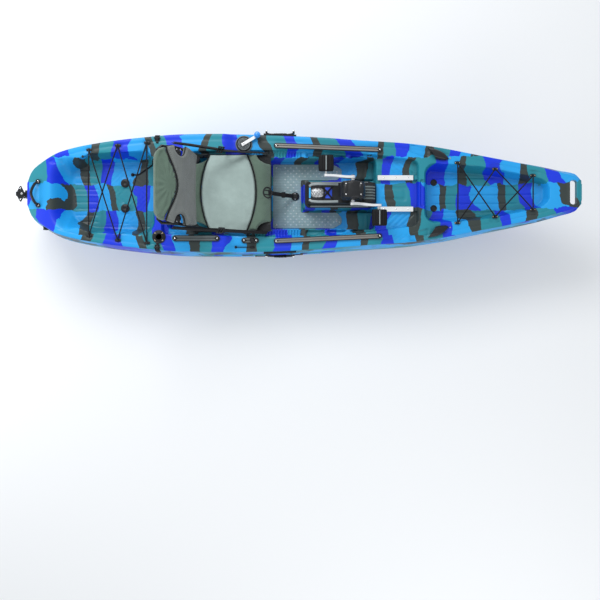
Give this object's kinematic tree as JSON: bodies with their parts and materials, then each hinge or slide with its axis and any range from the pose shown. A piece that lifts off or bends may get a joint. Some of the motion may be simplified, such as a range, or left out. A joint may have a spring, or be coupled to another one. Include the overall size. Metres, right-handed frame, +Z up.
{
  "type": "pedal boat",
  "caption": "Sit-on-top pedal boat with a hollow moulded hull, a lift-out pedal drive with propeller, a kick-up rudder and a framed reclining seat.",
  "frame": {"origin": "on the centreline amidships, at the hull's flat bottom", "axes": "+X to the bow, +Y to port, +Z up"},
  "size_m": [3.74, 0.833, 1.0104],
  "materials": {
    "hull": "satin",
    "black_plastic": "satin",
    "grey_plastic": "satin",
    "aluminium": "satin",
    "steel": "satin",
    "frame_tube": "satin",
    "seat_fabric": "matte",
    "webbing": "matte",
    "foam_mat": "matte",
    "bungee": "matte",
    "blue_plastic": "gloss"
  },
  "bodies": {
    "hull": {"hull": "hull", "drain_plug": "black_plastic", "scupper_plug_starboard": "black_plastic", "scupper_plug_port": "black_plastic", "gear_track_starboard": "black_plastic", "gear_track_port": "black_plastic", "accessory_rail_starboard": "aluminium", "accessory_rail_port": "aluminium", "aft_track_starboard": "grey_plastic", "short_track_starboard": "grey_plastic", "rod_holder": "black_plastic", "rod_hood_starboard": "black_plastic", "rod_hood_port": "black_plastic", "floor_mat": "foam_mat", "paddle_keeper_starboard": "webbing", "paddle_keeper_port": "webbing", "stern_handle": "black_plastic", "side_handle_bracket_starboard": "black_plastic", "side_handle_bracket_port": "black_plastic", "bow_bungee": "bungee", "stern_bungee": "bungee", "paddle_bungee_starboard": "bungee", "floor_eye": "black_plastic", "rudder_bracket": "black_plastic", "steering_dial": "black_plastic"},
    "track_knob": {"track_knob": "black_plastic"},
    "side_handle_starboard": {"side_handle_starboard": "black_plastic"},
    "side_handle_port": {"side_handle_port": "black_plastic"},
    "drive": {"drive_base": "black_plastic", "crank_housing": "black_plastic", "drive_leg": "black_plastic", "gearcase": "black_plastic", "skeg": "grey_plastic"},
    "crank": {"crank_axle": "steel", "crank_gear": "steel", "crank_arm_starboard": "aluminium", "crank_arm_port": "aluminium", "pedal_axle_starboard": "steel", "pedal_axle_port": "steel"},
    "pedal_starboard": {"pedal_starboard": "black_plastic"},
    "pedal_port": {"pedal_port": "black_plastic"},
    "drive_shaft": {"drive_shaft": "steel"},
    "propeller": {"propeller_shaft": "steel", "shaft_collar": "steel", "propeller": "black_plastic", "propeller_nut": "black_plastic"},
    "rudder_head": {"rudder_head": "black_plastic", "rudder_pin": "steel", "kick_bolt": "steel"},
    "rudder_blade": {"rudder_blade": "black_plastic"},
    "steering_lever": {"steering_lever": "aluminium", "steering_knob": "blue_plastic"},
    "seat": {"seat_frame": "frame_tube", "seat_cushion": "seat_fabric", "recline_plate_starboard": "black_plastic", "recline_plate_port": "black_plastic", "seat_strap_starboard": "webbing", "seat_strap_port": "webbing"},
    "seat_back": {"back_frame": "frame_tube", "back_cushion": "seat_fabric"}
  },
  "joints": [
    {"name": "drive_lift", "type": "slide", "parent": "hull", "child": "drive", "axis": [0, 0, 1], "range_m": [0, 0.26]},
    {"name": "crank_spin", "type": "hinge", "parent": "drive", "child": "crank", "pos_m": [0.325, 0, 0.46], "axis": [0, 1, 0], "continuous": true},
    {"name": "pedal_starboard_spin", "type": "hinge", "parent": "crank", "child": "pedal_starboard", "pos_m": [0.497, -0.175, 0.46], "axis": [0, 1, 0], "continuous": true},
    {"name": "pedal_port_spin", "type": "hinge", "parent": "crank", "child": "pedal_port", "pos_m": [0.153, 0.175, 0.46], "axis": [0, 1, 0], "continuous": true},
    {"name": "drive_shaft_spin", "type": "hinge", "parent": "drive", "child": "drive_shaft", "pos_m": [0.325, 0, 0.1], "axis": [0, 0, 1], "continuous": true},
    {"name": "propeller_spin", "type": "hinge", "parent": "drive", "child": "propeller", "pos_m": [0.222, 0, -0.127], "axis": [1, 0, 0], "continuous": true},
    {"name": "rudder_steer", "type": "hinge", "parent": "hull", "child": "rudder_head", "pos_m": [-1.862, 0, 0.26], "axis": [0, 0, 1], "range_deg": [-35, 35]},
    {"name": "rudder_kick_up", "type": "hinge", "parent": "rudder_head", "child": "rudder_blade", "pos_m": [-1.885, 0, 0.202], "axis": [0, 1, 0], "range_deg": [0, 95]},
    {"name": "steering_turn", "type": "hinge", "parent": "hull", "child": "steering_lever", "pos_m": [-0.386, 0.325, 0.34], "axis": [0, 0, 1], "range_deg": [-42, 42]},
    {"name": "seat_slide", "type": "slide", "parent": "hull", "child": "seat", "axis": [1, 0, 0], "range_m": [-0.05, 0.08]},
    {"name": "seat_back_fold", "type": "hinge", "parent": "seat", "child": "seat_back", "pos_m": [-0.655, 0, 0.345], "axis": [0, 1, 0], "range_deg": [0, 60]},
    {"name": "side_handle_starboard_swing", "type": "hinge", "parent": "hull", "child": "side_handle_starboard", "pos_m": [-0.1475, -0.409, 0.3025], "axis": [-1, 0, 0], "range_deg": [0, 100]},
    {"name": "side_handle_port_swing", "type": "hinge", "parent": "hull", "child": "side_handle_port", "pos_m": [-0.1475, 0.409, 0.3025], "axis": [1, 0, 0], "range_deg": [0, 100]},
    {"name": "track_knob_turn", "type": "hinge", "parent": "hull", "child": "track_knob", "pos_m": [-0.33, -0.312, 0.34], "axis": [0, 0, 1], "range_deg": [0, 180]}
  ],
  "couplings": [
    {"joint": "drive_shaft_spin", "follows": "crank_spin", "ratio": 4},
    {"joint": "propeller_spin", "follows": "crank_spin", "ratio": 8},
    {"joint": "steering_turn", "follows": "rudder_steer", "ratio": 1.2}
  ]
}
